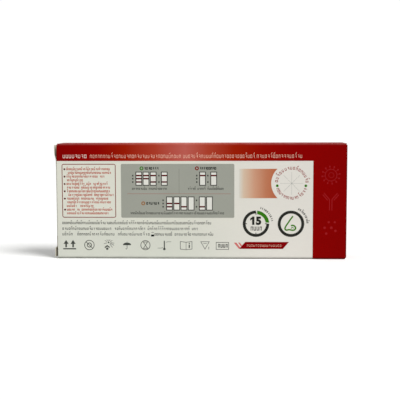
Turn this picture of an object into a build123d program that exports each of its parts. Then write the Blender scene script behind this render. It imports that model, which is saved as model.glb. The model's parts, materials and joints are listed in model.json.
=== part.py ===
from build123d import *
from math import hypot
import os

# A folding carton with reverse tucked ends, empty and closed, standing on its bottom panel.
# X runs along the printed front, which faces -Y, and Z is up. The origin is the middle of the bottom panel.
# The left closure hangs on the back panel and tucks in behind the front panel, and the right one the other way round.

# Closed carton, outside sizes in mm
length = 180.0
depth = 20.0
height = 72.0
board = 0.4  # folding boxboard of about 350 g/m2
fold_radius = 0.6  # outside of the four long folds
corner_radius = 2.0  # worn lower right corner of the front panel
corner_wear = 1.2  # how deep that wear reaches behind the front

# Glued seam, along the lower back edge
glue_flap = 12.0
glue_flap_cut = 3.0  # how far its ends stand back from the panel ends
glue_flap_taper = 2.0
glue_flap_lead = 0.4  # flat stretch that is made with the fold
glue_line = 0.05  # between the flap and the bottom panel
seam_setback = 0.4  # from the back panel's face to the bottom panel's cut edge

# Dust flaps, on the ends of the top and bottom panels
dust_flap = 18.0
dust_fold = 0.8
worn_dust_fold = 1.8
dust_corner = 4.0
dust_lead = 1.0  # flat stretch of the panel that is made with the flap
tuck_relief = 2.0  # from the face of the panel that takes the tongue
hinge_relief = 0.8  # from the face of the panel that carries the closure

# Closures and tongues
crease_gap = 0.1  # free line along a crease that folds
closure_relief = 1.0  # closure's top and bottom edges, from the carton's faces
slit = 13.0  # slit between closure and tongue, from each end of the crease
slit_gap = 0.3
tongue = 12.0
tongue_relief = 1.6
tongue_corner = 9.0
tongue_clearance = 0.45  # from the panel that it is tucked behind
tongue_lean = 10.5  # degrees that the tongue leans inwards
tongue_share = 0.2  # of its closure's swing, that the tongue folds further in
crease_bevel = 0.3
left_ajar = 2.0  # degrees that the left closure stands open

# Corners of the left closure that have sprung out of their slits
top_spring = 1.85
top_spring_up = 10.5
top_spring_in = 9.0
low_spring = 1.2
low_spring_up = 6.3
low_spring_in = 6.0
spring_radius = 5.0
spring_lead = 1.2  # flat stretch of the closure that is made with the corner

# Print on the front: red fields, notice and panel of results
ink = 0.03
header_height = 10.8
header_gap = 1.8  # from the header to the notice and the panel
side_field_width = 20.8
print_height = 33.6
frame_left = 3.1
frame_width = 33.75
frame_gap = 3.25  # from the notice to the panel
frame_line = 0.45
frame_corner = 1.2
panel_corner = 0.9

# Result windows, in rows: each row has groups of windows, and each window the lines that it shows
window_width = 4.1
window_height = 8.7
window_line = 0.5
window_gap = 0.4
group_gap = 2.8
upper_windows_drop = 4.85  # from the panel's top
lower_windows_rise = 4.6  # from the panel's bottom
test_line = 0.9
control_drop = 2.42  # from a window's top
first_drop = 4.35
second_drop = 6.4
positive_middle = 0.271  # share of the panel's width at which the row's middle stands
negative_middle = 0.77
invalid_middle = 0.605
positive_row = [
    [["control", "first", "second"], ["control", "first"], ["control", "second"]],
    [["control", "second"]],
]
negative_row = [[["control"]], [["control"]]]
invalid_row = [[["first", "second"], ["first"], ["second"], []], [["second"], []]]

# Column of marks between the panel of results and the side field
dial_radius = 8.2
dial_line = 1.8
dial_gap = 5.28
dial_rise = 3.2  # from the slanted plate to the dials
arc_line = 2.2
arc_gap = 0.7
tick = 0.8
tick_width = 0.5
fade_gap = 3.1  # from the panel of results
fade_drop = 3.1  # from the panel's top
fade_rise = 7.75  # from the dials
fade_width = 24.0
emblem_setback = 13.2  # from the side field
emblem_rise = 0.1  # above the fade block's middle
emblem_clear = 12.6
plate_gap = 3.15  # from the panel of results
plate_width = 27.1
plate_slant = 3.7
plate_low = 6.4
plate_height = 4.35

half_board = board / 2
panel_end = length / 2 - board - crease_gap
hinge_x = -length / 2 + half_board
hinge_y = depth / 2 - half_board
tuck_y = -depth / 2 + board + tongue_clearance + half_board
crease_edge = half_board + crease_gap
shoulder_y = tuck_y - half_board
closure_top = height - closure_relief
glue_flap_root = depth / 2 - fold_radius
left_hinge = Axis((hinge_x, hinge_y, 0), (0, 0, 1))
left_tuck = Axis((hinge_x, tuck_y, 0), (0, 0, 1))
middle = Plane.XY.offset(height / 2)
past = 1.0  # how far a cutting tool runs past what it cuts

quarter_turn = 90

print_top = height - header_height - header_gap
print_low = print_top - print_height
side_left = length - side_field_width
mark_column = 4 * dial_radius + 3 * dial_gap
panel_left = frame_left + frame_width + frame_gap
panel_right = side_left - mark_column
panel_width = panel_right - panel_left
upper_windows_low = print_top - upper_windows_drop - window_height
lower_windows_low = print_low + lower_windows_rise
nose_across = side_left - dial_gap - dial_radius
timer_across = nose_across - dial_gap - 2 * dial_radius
dial_up = plate_low + plate_height + dial_rise + dial_radius
fade_left = panel_right + fade_gap
fade_low = dial_up + dial_radius + fade_rise
fade_height = print_top - fade_drop - fade_low
emblem_across = side_left - emblem_setback
emblem_up = fade_low + fade_height / 2 + emblem_rise
plate_left = panel_right + plate_gap
line_drop = {"control": control_drop, "first": first_drop, "second": second_drop}


def across(distance):
    """X of a point on the front at this distance from the panel's left edge."""
    return distance - length / 2


def worn_corner():
    """The piece missing from the front panel's lower right corner."""
    with BuildPart() as wear:
        with BuildSketch(Plane.XZ.offset(depth / 2 + past)):
            with Locations((length / 2 - corner_radius, corner_radius)):
                Rectangle(
                    corner_radius + past,
                    corner_radius + past,
                    align=(Align.MIN, Align.MAX),
                )
                Circle(corner_radius, mode=Mode.SUBTRACT)
        extrude(amount=-(corner_wear + past))
    return wear.part


def half_turn(part):
    """A part of the left end, moved to the right end."""
    return part.rotate(Axis.Z, 180)


def ajar(part):
    """A part of the shut left closure, swung out to where the closure stands."""
    return part.rotate(left_hinge, -left_ajar)


def dust_flap_part(fold):
    """The dust flap on the left end of the top panel, with the stretch of the panel that it folds from."""
    flap_x = -panel_end + half_board
    panel_z = height - half_board
    with BuildPart() as flap:
        with BuildSketch(Plane.XZ.offset(hinge_relief - depth / 2)):
            with BuildLine():
                FilletPolyline(
                    (-panel_end + fold + dust_lead, panel_z),
                    (flap_x, panel_z),
                    (flap_x, height - dust_flap),
                    radius=fold - half_board,
                )
            trace(line_width=board)
        extrude(amount=depth - tuck_relief - hinge_relief)
        free_corners = flap.edges().filter_by(Axis.X).group_by(Axis.Z)[0]
        chamfer(free_corners, length=dust_corner)
    return flap.part


def panel_gap(fold):
    """The stretch of the top panel that the dust flap's part takes the place of."""
    with BuildPart() as gap:
        with BuildSketch(Plane.XY.offset(height - board - past)):
            with Locations((-panel_end - past, -depth / 2 + tuck_relief)):
                Rectangle(
                    past + fold + dust_lead,
                    depth - tuck_relief - hinge_relief,
                    align=(Align.MIN, Align.MIN),
                )
        extrude(amount=board + 2 * past)
    return gap.part


def at_four_ends(made, fold_at):
    """What made gives for each dust flap, moved to the four ends of the top and bottom panels."""
    left_top = made(fold_at["left top"])
    left_bottom = mirror(made(fold_at["left bottom"]), about=middle)
    right_top = half_turn(made(fold_at["right top"]))
    right_bottom = half_turn(mirror(made(fold_at["right bottom"]), about=middle))
    return [left_top, left_bottom, right_top, right_bottom]


def end_strip():
    """The front panel's stretch beside the left closure, which reaches past the other panels."""
    with BuildPart() as strip:
        with BuildSketch(Plane.XZ.offset(depth / 2)):
            with Locations((-length / 2, fold_radius)):
                Rectangle(
                    length / 2 - panel_end,
                    height - 2 * fold_radius,
                    align=(Align.MIN, Align.MIN),
                )
        extrude(amount=-board)
    return strip.part


def sprung_corner(spring, up, inwards):
    """The left closure's top corner, bent out along a slanting line, and the flat stretch that it replaces."""
    span = hypot(up, inwards)
    outwards = Vector(0, -up / span, inwards / span)
    run = up * inwards / span
    bend = Plane(
        origin=(hinge_x, shoulder_y, closure_top - up),
        x_dir=outwards,
        z_dir=(0, outwards.Z, -outwards.Y),
    )
    reach = run + past
    with BuildPart() as corner:
        with BuildSketch(bend):
            with BuildLine():
                FilletPolyline(
                    (-spring_lead, 0),
                    (0, 0),
                    (reach, -spring * reach / run),
                    radius=spring_radius,
                )
            trace(line_width=board)
        extrude(amount=2 * span, both=True)
        with BuildSketch(Plane.YZ.offset(-length / 2 - 2 * spring)):
            with Locations((shoulder_y, closure_top)):
                Rectangle(2 * span, 2 * span, align=(Align.MIN, Align.MAX))
        extrude(amount=4 * spring, mode=Mode.INTERSECT)
    with BuildPart() as flat:
        with BuildSketch(bend):
            with Locations((-spring_lead, 0)):
                Rectangle(spring_lead + reach, 2 * board, align=(Align.MIN, Align.CENTER))
        extrude(amount=2 * span, both=True)
    return corner.part, flat.part


def closure_part():
    """A closure at the left end, with flat corners: it turns about hinge_x and hinge_y."""
    with BuildPart() as closure:
        with BuildSketch(Plane.YZ.offset(-length / 2)):
            with Locations((hinge_y, closure_relief)):
                Rectangle(
                    hinge_y - shoulder_y,
                    height - 2 * closure_relief,
                    align=(Align.MAX, Align.MIN),
                )
            with Locations((shoulder_y, height / 2)):
                Rectangle(
                    tuck_y + crease_edge - shoulder_y,
                    height - 2 * (closure_relief + slit),
                    align=(Align.MIN, Align.CENTER),
                    mode=Mode.SUBTRACT,
                )
        extrude(amount=board)
        crease_edges = (
            closure.edges()
            .filter_by(Axis.Z)
            .filter_by_position(Axis.Y, tuck_y + half_board, tuck_y + crease_edge + half_board)
        )
        chamfer(crease_edges.sort_by(Axis.X)[-1], length=crease_bevel)
        with Locations((hinge_x, hinge_y, closure_relief)):
            Cylinder(
                half_board,
                height - 2 * closure_relief,
                align=(Align.CENTER, Align.CENTER, Align.MIN),
            )
    return closure.part


def tongue_part():
    """The tongue of the left closure: it turns about hinge_x and tuck_y."""
    leaning = Plane(
        origin=(hinge_x, tuck_y, 0),
        x_dir=Vector(1, 0, 0).rotate(Axis.Z, tongue_lean),
        z_dir=Vector(0, -1, 0).rotate(Axis.Z, tongue_lean),
    )
    root_low = closure_relief + slit + slit_gap
    shoulder = half_board + slit_gap
    with BuildPart() as flap:
        with BuildSketch(leaning) as outline:
            with Locations((shoulder, tongue_relief)):
                Rectangle(
                    tongue - shoulder,
                    height - 2 * tongue_relief,
                    align=(Align.MIN, Align.MIN),
                )
            fillet(outline.vertices().group_by(Axis.X)[-1], radius=tongue_corner)
            with Locations((0, root_low)):
                Rectangle(2 * shoulder, height - 2 * root_low, align=(Align.MIN, Align.MIN))
        extrude(amount=half_board, both=True)
        with Locations((hinge_x, tuck_y, root_low)):
            Cylinder(
                half_board,
                height - 2 * root_low,
                align=(Align.CENTER, Align.CENTER, Align.MIN),
            )
    return flap.part


def front_plane(layer):
    """The front panel's face, or the top of that many layers of ink on it."""
    return Plane.XZ.offset(depth / 2 + layer * ink)


def row_places(groups, row_middle, low):
    """A row's windows, each with its left edge, lower edge and printed lines."""
    places = []
    left = 0
    for group in groups:
        for lines in group:
            places.append((left, lines))
            left += window_width + window_gap
        left += group_gap - window_gap
    row_width = left - group_gap
    row_left = panel_left + row_middle * panel_width - row_width / 2
    return [(row_left + left, low, lines) for left, lines in places]


def window_places():
    """Every result window's left edge, lower edge and printed lines."""
    positive = row_places(positive_row, positive_middle, upper_windows_low)
    negative = row_places(negative_row, negative_middle, upper_windows_low)
    invalid = row_places(invalid_row, invalid_middle, lower_windows_low)
    return positive + negative + invalid


def dial_ring(dial_across, line):
    """The outline of a round dial, this wide, drawn in the sketch that calls it."""
    with Locations((across(dial_across), dial_up)):
        Circle(dial_radius)
        Circle(dial_radius - line, mode=Mode.SUBTRACT)


# The carton's body: one sheet, folded and glued along its lower back edge
dust_folds = {
    "left top": dust_fold,
    "left bottom": dust_fold,
    "right top": dust_fold,
    "right bottom": worn_dust_fold,
}
dust_gaps = at_four_ends(panel_gap, dust_folds)
dust_flaps = at_four_ends(dust_flap_part, dust_folds)
end_strips = [end_strip(), half_turn(end_strip())]
with BuildPart() as carton_body:
    with BuildSketch(Plane.YZ):
        with BuildLine():
            FilletPolyline(
                (depth / 2 - seam_setback, half_board),
                (half_board - depth / 2, half_board),
                (half_board - depth / 2, height - half_board),
                (depth / 2 - half_board, height - half_board),
                (depth / 2 - half_board, board + glue_line + half_board),
                (glue_flap_root - glue_flap_lead, board + glue_line + half_board),
                radius=fold_radius - half_board,
            )
        trace(line_width=board)
    extrude(amount=panel_end, both=True)
    with BuildSketch(Plane.XY.offset(board)):
        flap_end = panel_end - glue_flap_cut
        with BuildLine():
            Polyline(
                (-flap_end, glue_flap_root),
                (flap_end, glue_flap_root),
                (flap_end - glue_flap_taper, depth / 2 - glue_flap),
                (glue_flap_taper - flap_end, depth / 2 - glue_flap),
                close=True,
            )
        make_face()
    extrude(amount=glue_line + board)
    add(dust_gaps, mode=Mode.SUBTRACT)
    add(dust_flaps)
    add(end_strips)
    add(worn_corner(), mode=Mode.SUBTRACT)
carton_body.part.label = "carton_body"

# Left closure, hung on the back panel, with its two front corners sprung out. It stands a little open.
top_corner, top_flat = sprung_corner(top_spring, top_spring_up, top_spring_in)
low_corner, low_flat = sprung_corner(low_spring, low_spring_up, low_spring_in)
with BuildPart() as shut_closure:
    add(closure_part())
    add([top_flat, mirror(low_flat, about=middle, mode=Mode.PRIVATE)], mode=Mode.SUBTRACT)
    add([top_corner, mirror(low_corner, about=middle, mode=Mode.PRIVATE)])
with BuildPart() as left_closure:
    add(ajar(shut_closure.part))
left_closure.part.label = "left_closure"

with BuildPart() as left_tongue:
    add(ajar(tongue_part().rotate(left_tuck, tongue_share * left_ajar)))
left_tongue.part.label = "left_tongue"

# Right closure, hung on the front panel, with its corners flat
with BuildPart() as right_closure:
    add(half_turn(closure_part()))
right_closure.part.label = "right_closure"

with BuildPart() as right_tongue:
    add(half_turn(tongue_part()))
right_tongue.part.label = "right_tongue"

# Red print: the header band with the top panel, and the field at the right of the front
with BuildPart() as red_field:
    with BuildSketch(Plane.YZ):
        with BuildLine():
            FilletPolyline(
                (-depth / 2 - ink / 2, height - header_height),
                (-depth / 2 - ink / 2, height + ink / 2),
                (depth / 2 - fold_radius, height + ink / 2),
                radius=fold_radius + ink / 2,
            )
        trace(line_width=ink)
    extrude(amount=panel_end - dust_fold, both=True)
    with BuildSketch(front_plane(0)):
        with Locations((-length / 2, height - header_height)):
            Rectangle(
                length / 2 + panel_end,
                header_height - fold_radius,
                align=(Align.MIN, Align.MIN),
            )
        with Locations((panel_end, fold_radius)):
            Rectangle(
                side_field_width - (length / 2 - panel_end),
                height - header_height - fold_radius,
                align=(Align.MAX, Align.MIN),
            )
    extrude(amount=ink)
    add(worn_corner(), mode=Mode.SUBTRACT)
red_field.part.label = "red_field"

# Red print on the right closure, round the crease that it hangs on
with BuildPart() as closure_field:
    with BuildSketch(Plane.XY.offset(closure_relief)):
        with BuildLine():
            crease = JernArc(
                start=(-hinge_x, -depth / 2 - ink / 2),
                tangent=(1, 0),
                radius=half_board + ink / 2,
                arc_size=quarter_turn,
            )
            Line(crease @ 1, (length / 2 + ink / 2, -tuck_y - crease_edge))
        trace(line_width=ink)
    extrude(amount=height - 2 * closure_relief)
closure_field.part.label = "closure_field"

# Fine outline round the notice at the left
with BuildPart() as notice_frame:
    with BuildSketch(front_plane(0)):
        centre = (across(frame_left + frame_width / 2), print_low + print_height / 2)
        with Locations(centre):
            RectangleRounded(frame_width, print_height, frame_corner)
            RectangleRounded(
                frame_width - 2 * frame_line,
                print_height - 2 * frame_line,
                frame_corner - frame_line,
                mode=Mode.SUBTRACT,
            )
    extrude(amount=ink)
notice_frame.part.label = "notice_frame"

# Grey panel with the pictures of the results
with BuildPart() as result_panel:
    with BuildSketch(front_plane(0)):
        centre = (across(panel_left + panel_width / 2), print_low + print_height / 2)
        with Locations(centre):
            RectangleRounded(panel_width, print_height, panel_corner)
    extrude(amount=ink)
result_panel.part.label = "result_panel"

with BuildPart() as window_frames:
    with BuildSketch(front_plane(1)):
        for left, low, _ in window_places():
            with Locations((across(left), low)):
                Rectangle(window_width, window_height, align=(Align.MIN, Align.MIN))
            with Locations((across(left) + window_line, low + window_line)):
                Rectangle(
                    window_width - 2 * window_line,
                    window_height - 2 * window_line,
                    align=(Align.MIN, Align.MIN),
                    mode=Mode.SUBTRACT,
                )
    extrude(amount=ink)
window_frames.part.label = "window_frames"

with BuildPart() as windows:
    with BuildSketch(front_plane(1)):
        for left, low, _ in window_places():
            with Locations((across(left) + window_line, low + window_line)):
                Rectangle(
                    window_width - 2 * window_line,
                    window_height - 2 * window_line,
                    align=(Align.MIN, Align.MIN),
                )
    extrude(amount=ink)
windows.part.label = "windows"

with BuildPart() as test_lines:
    with BuildSketch(front_plane(2)):
        for left, low, lines in window_places():
            for line in lines:
                line_up = low + window_height - line_drop[line]
                with Locations((across(left) + window_line, line_up)):
                    Rectangle(
                        window_width - 2 * window_line,
                        test_line,
                        align=(Align.MIN, Align.CENTER),
                    )
    extrude(amount=ink)
test_lines.part.label = "test_lines"

# Orange block that fades towards the left, cut round by the emblem's circle
with BuildPart() as fade_block:
    with BuildSketch(front_plane(0)):
        with Locations((across(fade_left), fade_low)):
            Rectangle(fade_width, fade_height, align=(Align.MIN, Align.MIN))
        with Locations((across(emblem_across), emblem_up)):
            Circle(emblem_clear, mode=Mode.SUBTRACT)
    extrude(amount=ink)
fade_block.part.label = "fade_block"

# Timer dial: three quarters of a ring with ticks, and an arc from twelve to three
quarter = dial_radius + past
with BuildPart() as timer_ring:
    with BuildSketch(front_plane(0)):
        dial_ring(timer_across, dial_line)
        with Locations((across(timer_across), dial_up)):
            Rectangle(quarter, quarter, align=(Align.MIN, Align.MIN), mode=Mode.SUBTRACT)
            with PolarLocations(dial_radius - dial_line - tick, 4):
                Rectangle(2 * tick, tick_width, align=(Align.MIN, Align.CENTER))
    extrude(amount=ink)
timer_ring.part.label = "timer_ring"

with BuildPart() as timer_arc:
    with BuildSketch(front_plane(0)):
        dial_ring(timer_across, arc_line)
        with Locations((across(timer_across) + arc_gap, dial_up + arc_gap)):
            Rectangle(quarter, quarter, align=(Align.MIN, Align.MIN), mode=Mode.INTERSECT)
    extrude(amount=ink)
timer_arc.part.label = "timer_arc"

with BuildPart() as nose_ring:
    with BuildSketch(front_plane(0)):
        dial_ring(nose_across, dial_line)
    extrude(amount=ink)
nose_ring.part.label = "nose_ring"

# Slanted red plate at the end of the row of symbols
with BuildPart() as red_plate:
    with BuildSketch(front_plane(0)):
        low_left = (across(plate_left), plate_low)
        with BuildLine():
            Polyline(
                low_left,
                (low_left[0] + plate_width, plate_low),
                (low_left[0] + plate_width + plate_slant, plate_low + plate_height),
                (low_left[0] + plate_slant, plate_low + plate_height),
                close=True,
            )
        make_face()
    extrude(amount=ink)
red_plate.part.label = "red_plate"

os.makedirs("parts", exist_ok=True)
export_step(carton_body.part, "parts/carton_body.step")
export_step(left_closure.part, "parts/left_closure.step")
export_step(left_tongue.part, "parts/left_tongue.step")
export_step(right_closure.part, "parts/right_closure.step")
export_step(right_tongue.part, "parts/right_tongue.step")
export_step(red_field.part, "parts/red_field.step")
export_step(closure_field.part, "parts/closure_field.step")
export_step(notice_frame.part, "parts/notice_frame.step")
export_step(result_panel.part, "parts/result_panel.step")
export_step(window_frames.part, "parts/window_frames.step")
export_step(windows.part, "parts/windows.step")
export_step(test_lines.part, "parts/test_lines.step")
export_step(fade_block.part, "parts/fade_block.step")
export_step(timer_ring.part, "parts/timer_ring.step")
export_step(timer_arc.part, "parts/timer_arc.step")
export_step(nose_ring.part, "parts/nose_ring.step")
export_step(red_plate.part, "parts/red_plate.step")
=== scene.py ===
import json
import math

import bmesh
import bpy
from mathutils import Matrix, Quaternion, Vector

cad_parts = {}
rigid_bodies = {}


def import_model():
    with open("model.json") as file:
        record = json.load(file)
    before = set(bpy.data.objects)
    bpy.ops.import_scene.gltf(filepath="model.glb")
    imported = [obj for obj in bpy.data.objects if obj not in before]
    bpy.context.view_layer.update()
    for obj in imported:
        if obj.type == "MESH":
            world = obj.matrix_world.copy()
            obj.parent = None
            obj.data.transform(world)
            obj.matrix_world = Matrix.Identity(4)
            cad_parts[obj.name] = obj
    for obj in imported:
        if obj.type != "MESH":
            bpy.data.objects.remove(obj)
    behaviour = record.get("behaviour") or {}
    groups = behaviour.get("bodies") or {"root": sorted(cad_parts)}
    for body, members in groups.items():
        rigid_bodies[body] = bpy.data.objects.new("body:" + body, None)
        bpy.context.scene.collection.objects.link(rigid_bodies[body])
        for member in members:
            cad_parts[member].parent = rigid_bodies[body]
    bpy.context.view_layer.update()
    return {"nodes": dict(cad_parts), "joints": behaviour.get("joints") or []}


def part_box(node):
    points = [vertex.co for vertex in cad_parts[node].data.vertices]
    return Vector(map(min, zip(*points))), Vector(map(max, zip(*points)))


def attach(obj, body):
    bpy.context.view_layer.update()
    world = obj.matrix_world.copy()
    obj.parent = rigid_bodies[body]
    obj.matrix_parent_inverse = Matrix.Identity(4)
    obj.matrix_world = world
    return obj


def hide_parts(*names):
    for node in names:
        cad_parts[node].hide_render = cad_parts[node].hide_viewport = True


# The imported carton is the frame: its folded body, two closures, two tongues and the fields of print.
for leftover in list(bpy.data.objects):
    bpy.data.objects.remove(leftover)
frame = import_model()
MM = 0.001
carton_low, carton_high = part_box("carton_body")
HALF_LENGTH = carton_high.x
FRONT = carton_low.y
HEIGHT = carton_high.z

# Camera: a long lens a little above the carton and a little to its right, aimed near the
# middle of the front panel. Its lens and aim are for a square picture, 400 by 400.
CAMERA_DISTANCE = 556 * MM
CAMERA_RIGHT = math.radians(2.2)
CAMERA_UP = math.radians(5.3)
CAMERA_ROLL = math.radians(-0.15)
AIM_LEFT = 1.1 * MM
LENS = 79.1
SENSOR = 36
CLIP_NEAR = 0.01
CLIP_FAR = 20


def added(name, data):
    """A new object in the scene, standing at the origin."""
    made = bpy.data.objects.new(name, data)
    bpy.context.scene.collection.objects.link(made)
    return made


aim = Vector((-AIM_LEFT, 0.0, HEIGHT / 2))
back_off = Vector(
    (
        math.sin(CAMERA_RIGHT) * math.cos(CAMERA_UP),
        -math.cos(CAMERA_RIGHT) * math.cos(CAMERA_UP),
        math.sin(CAMERA_UP),
    )
)
camera = added("camera", bpy.data.cameras.new("camera"))
camera.data.sensor_width = SENSOR
camera.data.lens = LENS
camera.data.clip_start = CLIP_NEAR
camera.data.clip_end = CLIP_FAR
camera.location = aim + CAMERA_DISTANCE * back_off
camera.rotation_mode = "QUATERNION"
unrolled = (-back_off).to_track_quat("-Z", "Y")
camera.rotation_quaternion = unrolled @ Quaternion((0, 0, 1), CAMERA_ROLL)
bpy.context.scene.camera = camera
bpy.context.scene.view_settings.view_transform = "Standard"

# Light: one large soft lamp, high at the right and in front, which throws the carton's shadow
# to the left and behind it, and an even white surround that fills the shaded sides.
LAMP_STRENGTH = 2.8
LAMP_SPREAD = math.radians(28)
TOWARDS_LAMP = Vector((0.505, -0.362, 0.795))
SURROUND = 0.34
SEEN_WHITE = 1.02
SEEN_IN_GLOSS = 0.8
WHITE = (1, 1, 1, 1)
lamp = added("soft_lamp", bpy.data.lights.new("soft_lamp", "SUN"))
lamp.data.energy = LAMP_STRENGTH
lamp.data.angle = LAMP_SPREAD
lamp.rotation_mode = "QUATERNION"
lamp.rotation_quaternion = TOWARDS_LAMP.to_track_quat("Z", "Y")


def feed(tree, socket, value):
    """Gives an input a plain value, or links another node's output to it."""
    if isinstance(value, bpy.types.NodeSocket):
        tree.links.new(value, socket)
    else:
        socket.default_value = value


def set_inputs(tree, made, **values):
    """Feeds a node's inputs by their names."""
    for name, value in values.items():
        feed(tree, made.inputs[name.replace("_", " ")], value)


def in_order(tree, made, *values):
    """Feeds a node's inputs from the first on, and gives its first output."""
    for socket, value in zip(made.inputs, values):
        feed(tree, socket, value)
    return made.outputs[0]


def node(tree, kind, **settings):
    """A node with its settings: a name is one of the node's own options, or else an input's."""
    made = tree.nodes.new(kind)
    for name, value in settings.items():
        if hasattr(made, name):
            setattr(made, name, value)
        else:
            set_inputs(tree, made, **{name: value})
    return made


def calc(tree, operation, *values):
    """The result of a sum on outputs or plain numbers."""
    return in_order(tree, node(tree, "ShaderNodeMath", operation=operation), *values)


def product(tree, first, *others):
    """Outputs or plain numbers multiplied together."""
    for other in others:
        first = calc(tree, "MULTIPLY", first, other)
    return first


def largest(tree, first, *others):
    """The largest of some outputs."""
    for other in others:
        first = calc(tree, "MAXIMUM", first, other)
    return first


world = bpy.data.worlds.new("surround")
bpy.context.scene.world = world
world.use_nodes = True
tree = world.node_tree
tree.nodes.clear()
rays = node(tree, "ShaderNodeLightPath").outputs
mirrored = product(tree, rays["Is Glossy Ray"], SEEN_IN_GLOSS)
seen = largest(tree, rays["Is Camera Ray"], rays["Is Transmission Ray"], mirrored)
strength = calc(tree, "MULTIPLY_ADD", seen, SEEN_WHITE - SURROUND, SURROUND)
surround = node(tree, "ShaderNodeBackground", Color=WHITE, Strength=strength)
node(tree, "ShaderNodeOutputWorld", Surface=surround.outputs[0])

# Floor: a plain white sheet under the carton. It keeps the carton's shadow, and shows white to
# the camera further out, so that it has no edge against the surround.
FLOOR_HALF = 6.0
FLOOR_DROP = 0.02 * MM
FLOOR_WHITE = (0.9, 0.9, 0.89, 1)
FLOOR_LIFT = 0.13
CLEAR_FROM = 0.35
CLEAR_TO = 0.8


def ramp(tree, value, low, high, kind="SMOOTHSTEP"):
    """0 up to low, 1 from high, and a rise between them."""
    made = node(tree, "ShaderNodeMapRange", interpolation_type=kind)
    set_inputs(tree, made, Value=value, From_Min=low, From_Max=high)
    return made.outputs["Result"]


floor_mesh = bpy.data.meshes.new("floor")
corners = [(FLOOR_HALF * x, FLOOR_HALF * y, -FLOOR_DROP) for x, y in ((-1, -1), (1, -1), (1, 1), (-1, 1))]
floor_mesh.from_pydata(corners, [], [(0, 1, 2, 3)])
floor = added("floor", floor_mesh)
floor_paint = bpy.data.materials.new("white_floor")
floor_paint.use_nodes = True
tree = floor_paint.node_tree
tree.nodes.clear()
place = node(tree, "ShaderNodeTexCoord").outputs["Object"]
out_from_carton = node(tree, "ShaderNodeVectorMath", operation="LENGTH", Vector=place)
clear = ramp(tree, out_from_carton.outputs["Value"], CLEAR_FROM, CLEAR_TO)
seen = node(tree, "ShaderNodeLightPath").outputs["Is Camera Ray"]
diffuse = node(tree, "ShaderNodeBsdfDiffuse", Color=FLOOR_WHITE)
glow = node(tree, "ShaderNodeEmission", Color=WHITE, Strength=product(tree, seen, FLOOR_LIFT))
lit = in_order(tree, node(tree, "ShaderNodeAddShader"), diffuse.outputs[0], glow.outputs[0])
far_white = node(tree, "ShaderNodeEmission", Color=WHITE, Strength=SEEN_WHITE)
far_off = product(tree, clear, seen)
blend = in_order(tree, node(tree, "ShaderNodeMixShader"), far_off, lit, far_white.outputs[0])
node(tree, "ShaderNodeOutputMaterial", Surface=blend)
floor_mesh.materials.append(floor_paint)

# Folded body: one sheet of coated folding boxboard, cut, creased and glued along its lower back
# edge, with four dust flaps turned in at the ends. It is white and smooth outside, where a thin
# clay coat lies on the board, and grey-cream and fibrous inside and on its cut edges.
FOLD_RADIUS = 0.6 * MM
SKIN = 0.05 * MM
BOARD = 0.4 * MM
PAST_BOARD = 1.1 * BOARD


def linear(red, green, blue):
    """A colour written in screen steps of 0 to 255, as the light values that a shader takes."""
    steps = [c / 255 for c in (red, green, blue)]
    return tuple(c / 12.92 if c <= 0.04045 else ((c + 0.055) / 1.055) ** 2.4 for c in steps) + (1.0,)


COAT_LOW_LEFT = linear(210, 212, 201)
COAT_HIGH_LEFT = linear(219, 219, 206)
COAT_RIGHT = linear(223, 220, 212)
BARE_BOARD = linear(208, 202, 186)
DEEP_RED = linear(130, 0, 0)


def group(name, takes, gives, kind="Float"):
    """A shader group with named numbers going in and named outputs: its tree, way in and way out."""
    made = bpy.data.node_groups.new(name, "ShaderNodeTree")
    for title, value in takes.items():
        socket = made.interface.new_socket(title, in_out="INPUT", socket_type="NodeSocketFloat")
        socket.default_value = value
    for title in gives:
        made.interface.new_socket(title, in_out="OUTPUT", socket_type=f"NodeSocket{kind}")
    return made, made.nodes.new("NodeGroupInput").outputs, made.nodes.new("NodeGroupOutput")


def placed(tree, made, **values):
    """A group set into a material with its own values: its outputs."""
    used = node(tree, "ShaderNodeGroup", node_tree=made)
    set_inputs(tree, used, **values)
    return used.outputs


def place_on(tree, kind="Object"):
    """A point's place on the carton or, as Normal, the way that its face points."""
    return node(tree, "ShaderNodeTexCoord").outputs[kind]


def parts_of(tree, kind="Object"):
    """The same as its three parts X, Y and Z."""
    return node(tree, "ShaderNodeSeparateXYZ", Vector=place_on(tree, kind)).outputs


def noise(tree, place, scale, detail, roughness=0.5):
    """A cloudy noise at this place."""
    made = node(tree, "ShaderNodeTexNoise", Vector=place, Scale=scale, Detail=detail, Roughness=roughness)
    return made.outputs["Fac"]


# A mixing node's inputs and output for colours
MIX_INPUTS = (0, 6, 7)
MIX_OUTPUT = 2


def tinted(tree, factor, low, high, blend_type="MIX"):
    """A colour between two others, each a colour or an output."""
    made = node(tree, "ShaderNodeMix", data_type="RGBA", blend_type=blend_type)
    for slot, value in zip(MIX_INPUTS, (factor, low, high)):
        feed(tree, made.inputs[slot], value)
    return made.outputs[MIX_OUTPUT]


def scaled_colour(tree, colour, tone):
    """A colour made lighter or darker by a tone."""
    return tinted(tree, 1.0, colour, tone, "MULTIPLY")


NOISE_MIDDLE = 0.8


def toned(tree, first, second, contrast):
    """A tone around 1 from two noises."""
    swing = calc(tree, "SUBTRACT", calc(tree, "ADD", first, second), NOISE_MIDDLE)
    return calc(tree, "MULTIPLY_ADD", swing, contrast, 1.0)


# Fibres of the board: long soft flecks and a fine tooth, stronger on the bare side
DRAWN_OUT = (0.35, 1, 1)
CLOUD_SHARE = 0.6
fibres, takes, gives = group("board_fibres", {"Size": 900.0, "Contrast": 0.1}, ["Tone", "Height"])
drawn_out = node(fibres, "ShaderNodeMapping", Vector=place_on(fibres), Scale=DRAWN_OUT)
flecks = noise(fibres, drawn_out.outputs["Vector"], takes["Size"], detail=5, roughness=0.65)
clouds = product(fibres, noise(fibres, place_on(fibres), scale=38, detail=3), CLOUD_SHARE)
set_inputs(fibres, gives, Tone=toned(fibres, flecks, clouds, takes["Contrast"]), Height=flecks)

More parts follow.
